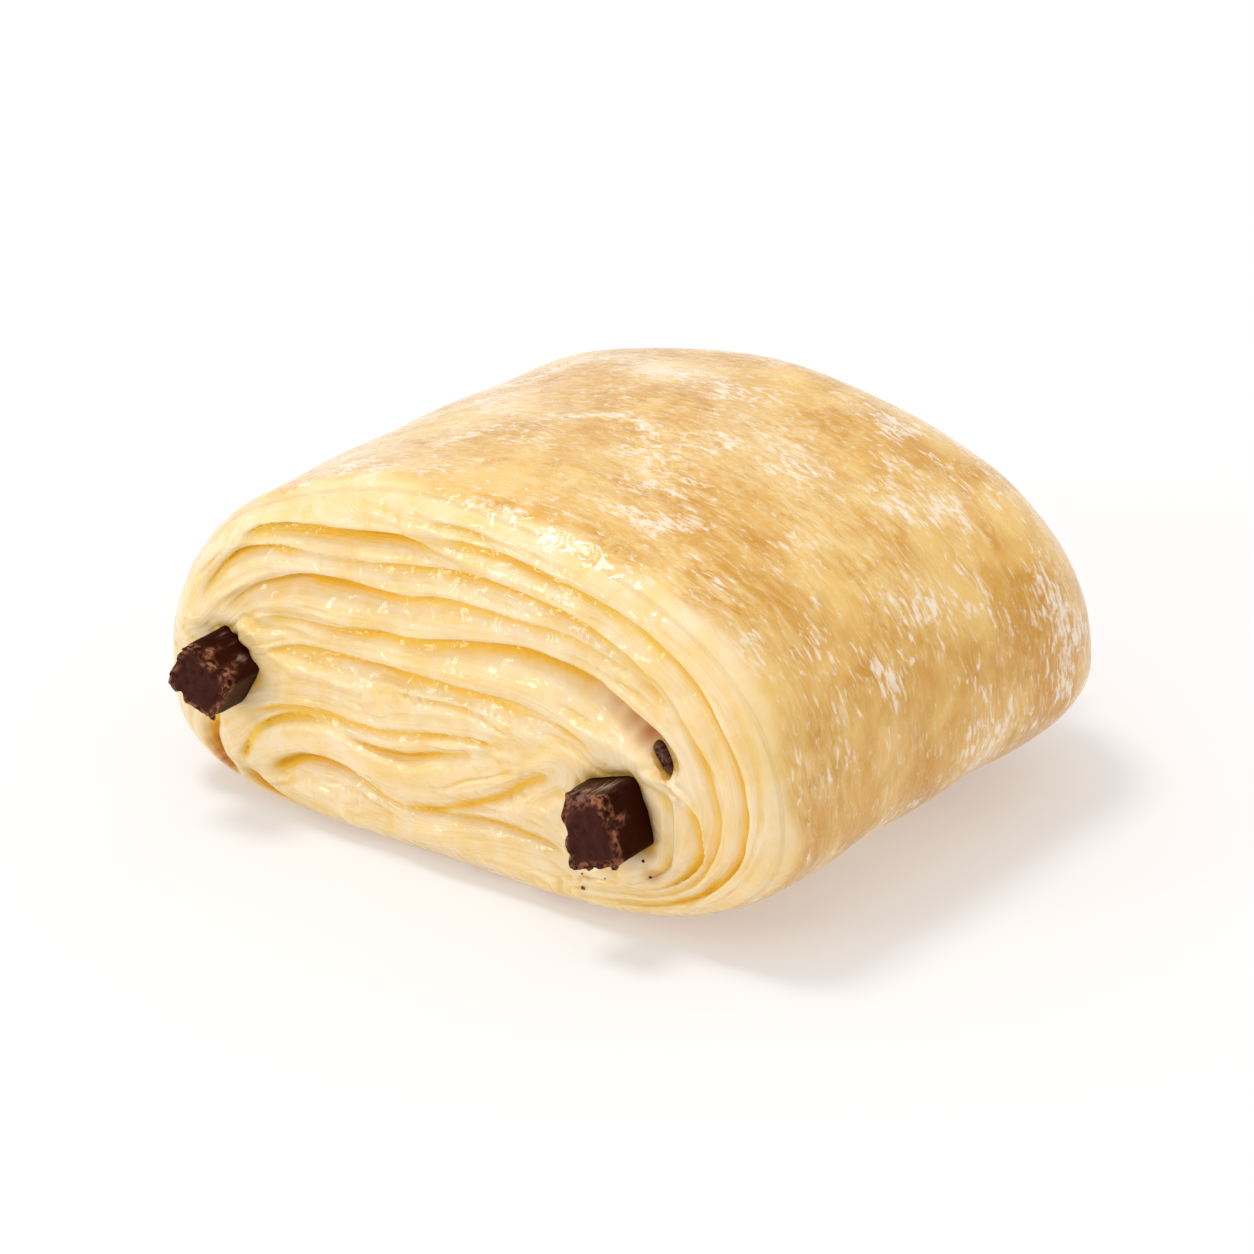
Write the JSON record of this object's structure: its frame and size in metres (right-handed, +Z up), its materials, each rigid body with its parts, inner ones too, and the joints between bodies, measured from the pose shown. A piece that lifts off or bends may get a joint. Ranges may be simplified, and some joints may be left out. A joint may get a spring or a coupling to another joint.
{
  "type": "unbaked pain au chocolat",
  "caption": "Unbaked laminated dough roll, wrapped in layers round sticks of dark chocolate that show at both ends.",
  "frame": {"origin": "on the surface that the pastry rests on, under the middle of its box", "axes": "+Z up, X across the roll, Y along the chocolate sticks, with the shown end facing -Y"},
  "size_m": [0.0734, 0.07, 0.0383],
  "materials": {
    "raw_dough": "moist raw laminated dough, satin",
    "dark_chocolate": "dark chocolate, satin sides and rough broken ends"
  },
  "bodies": {
    "root": {"dough": "raw_dough", "chocolate_stick_right": "dark_chocolate", "chocolate_stick_left": "dark_chocolate", "chocolate_fragment": "dark_chocolate"}
  },
  "joints": []
}
